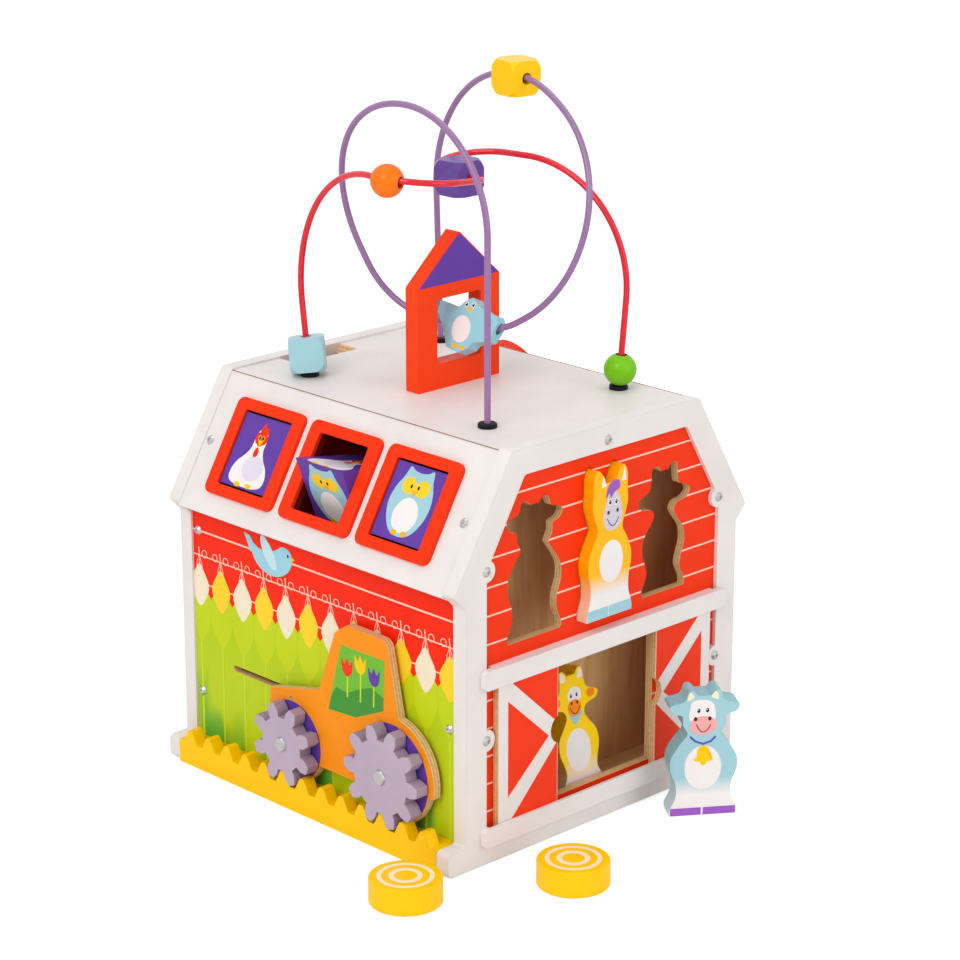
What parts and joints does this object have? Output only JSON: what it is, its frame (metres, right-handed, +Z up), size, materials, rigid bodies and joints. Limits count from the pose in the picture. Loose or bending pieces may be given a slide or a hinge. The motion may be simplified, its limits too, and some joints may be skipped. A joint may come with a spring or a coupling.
{
  "type": "wooden activity barn",
  "caption": "Wooden toy barn with sliding doors, spinning picture blocks in the roof, a tractor on a gear rack, animals in cut-outs and a wire bead maze on top.",
  "frame": {"origin": "middle of the footprint between the two gables, on the floor", "axes": "+Z up; -Y is the gable with the doors; -X is the side with the tractor; +X is to the right seen from the doors"},
  "size_m": [0.3509, 0.373, 0.4946],
  "materials": {
    "white_paint": "satin paint over plywood",
    "red_paint": "satin paint over plywood",
    "garden_print": "printed garden picture over plywood",
    "plywood": "bare sanded plywood",
    "purple_paint": "satin paint over wood",
    "maroon_paint": "satin paint over plywood",
    "yellow_paint": "gloss paint over wood",
    "orange_paint": "gloss paint over wood",
    "lilac_paint": "satin paint over wood",
    "steel": "plain polished steel",
    "purple_wire_coat": "plastic coated steel wire",
    "red_wire_coat": "plastic coated steel wire",
    "black_rubber": "soft moulded rubber",
    "blue_paint": "satin paint over wood",
    "lime_paint": "gloss paint over wood",
    "golden_paint": "satin paint over wood"
  },
  "bodies": {
    "house": {"front_gable_frame": "white_paint", "back_gable_frame": "white_paint", "front_panel": "red_paint", "back_panel": "red_paint", "left_side_panel": "garden_print", "right_side_panel": "garden_print", "left_roof_panel": "white_paint", "right_roof_panel": "white_paint", "top_roof_panel": "white_paint", "floor_board": "plywood", "stall_board": "plywood", "chute_board": "plywood", "corner_posts": "plywood", "roof_cleats": "plywood", "lower_door_rail": "white_paint", "upper_door_rail": "white_paint", "window_frame_1": "red_paint", "window_frame_2": "red_paint", "window_frame_3": "red_paint", "block_axle": "plywood", "axle_boards": "plywood", "window_back_board": "maroon_paint", "bale_ramps": "plywood", "gear_rack": "yellow_paint", "cupola": "red_paint", "cupola_dowels": "plywood", "purple_wire": "purple_wire_coat", "red_wire": "red_wire_coat", "wire_grommets": "black_rubber", "disc_pin": "steel", "gable_screws": "steel", "side_screws": "steel", "roof_screws": "steel"},
    "left_door": {"left_door": "red_paint"},
    "right_door": {"right_door": "red_paint"},
    "tractor": {"tractor_body": "orange_paint", "gear_pins": "steel", "guide_pins": "steel", "keeper_bar": "plywood"},
    "front_gear": {"front_gear": "lilac_paint"},
    "rear_gear": {"rear_gear": "lilac_paint"},
    "picture_block_1": {"picture_block_1": "purple_paint"},
    "picture_block_2": {"picture_block_2": "purple_paint"},
    "picture_block_3": {"picture_block_3": "purple_paint"},
    "blue_cube_bead": {"blue_cube_bead": "blue_paint"},
    "green_ball_bead": {"green_ball_bead": "lime_paint"},
    "orange_ball_bead": {"orange_ball_bead": "orange_paint"},
    "purple_cube_bead": {"purple_cube_bead": "purple_paint"},
    "yellow_cube_bead": {"yellow_cube_bead": "yellow_paint"},
    "bird_bead": {"bird_bead": "blue_paint"},
    "horse": {"horse": "orange_paint"},
    "goat": {"goat": "golden_paint"},
    "cow": {"cow": "blue_paint"},
    "hay_bale_1": {"hay_bale_1": "yellow_paint"},
    "hay_bale_2": {"hay_bale_2": "yellow_paint"},
    "roof_disc": {"roof_disc": "red_paint"}
  },
  "joints": [
    {"name": "left_door_slide", "type": "slide", "parent": "house", "child": "left_door", "axis": [1, 0, 0], "range_m": [-0.0008, 0.0474]},
    {"name": "right_door_slide", "type": "slide", "parent": "house", "child": "right_door", "axis": [-1, 0, 0], "range_m": [-0.0008, 0.0474]},
    {"name": "tractor_slide", "type": "slide", "parent": "house", "child": "tractor", "axis": [0, 1, 0], "range_m": [-0.0035, 0.068]},
    {"name": "front_gear_spin", "type": "hinge", "parent": "tractor", "child": "front_gear", "pos_m": [-0.1433, 0.019, 0.04696], "axis": [1, 0, 0], "range_deg": [-154, 9]},
    {"name": "rear_gear_spin", "type": "hinge", "parent": "tractor", "child": "rear_gear", "pos_m": [-0.1433, -0.081, 0.05333], "axis": [1, 0, 0], "range_deg": [-124, 8]},
    {"name": "picture_block_1_spin", "type": "hinge", "parent": "house", "child": "picture_block_1", "pos_m": [-0.10317, 0.077, 0.22699], "axis": [0, 1, 0], "continuous": true},
    {"name": "picture_block_2_spin", "type": "hinge", "parent": "house", "child": "picture_block_2", "pos_m": [-0.10317, 0, 0.22699], "axis": [0, 1, 0], "continuous": true},
    {"name": "picture_block_3_spin", "type": "hinge", "parent": "house", "child": "picture_block_3", "pos_m": [-0.10317, -0.077, 0.22699], "axis": [0, 1, 0], "continuous": true},
    {"name": "blue_cube_slide", "type": "slide", "parent": "house", "child": "blue_cube_bead", "axis": [0.0249, 0.1579, 0.9871], "range_m": [0, 0.023]},
    {"name": "green_ball_slide", "type": "slide", "parent": "house", "child": "green_ball_bead", "axis": [0.0153, -0.0787, 0.9968], "range_m": [0, 0.037]},
    {"name": "orange_ball_spin", "type": "hinge", "parent": "house", "child": "orange_ball_bead", "pos_m": [-0.07042, -0.00874, 0.43061], "axis": [0.2561, -0.9663, -0.0263], "continuous": true},
    {"name": "purple_cube_spin", "type": "hinge", "parent": "house", "child": "purple_cube_bead", "pos_m": [0.005, 0.00195, 0.42079], "axis": [-0.0001, 1, 0], "continuous": true},
    {"name": "yellow_cube_run", "type": "hinge", "parent": "house", "child": "yellow_cube_bead", "pos_m": [0.05822, 0.00241, 0.39363], "axis": [0.9928, -0.12, 0], "range_deg": [-80, 22]},
    {"name": "bird_swing", "type": "hinge", "parent": "house", "child": "bird_bead", "pos_m": [0.00678, -0.00774, 0.3187], "axis": [0.2757, -0.9613, -0.0001], "range_deg": [-6, 6]},
    {"name": "horse_slide", "type": "slide", "parent": "house", "child": "horse", "axis": [0, -1, 0], "range_m": [0, 0.03]},
    {"name": "goat_lift", "type": "slide", "parent": "house", "child": "goat", "axis": [0, 0, 1], "range_m": [0, 0.05]},
    {"name": "cow_lift", "type": "slide", "parent": "house", "child": "cow", "axis": [0, 0, 1], "range_m": [0, 0.05]},
    {"name": "hay_bale_1_lift", "type": "slide", "parent": "house", "child": "hay_bale_1", "axis": [0, 0, 1], "range_m": [0, 0.05]},
    {"name": "hay_bale_2_lift", "type": "slide", "parent": "house", "child": "hay_bale_2", "axis": [0, 0, 1], "range_m": [0, 0.05]},
    {"name": "roof_disc_spin", "type": "hinge", "parent": "house", "child": "roof_disc", "pos_m": [0.10805, 0.052, 0.25889], "axis": [0.8614, 0, 0.5079], "continuous": true}
  ],
  "couplings": [
    {"joint": "front_gear_spin", "follows": "tractor_slide", "rad_per_m": -39.27},
    {"joint": "rear_gear_spin", "follows": "tractor_slide", "rad_per_m": -31.416}
  ]
}
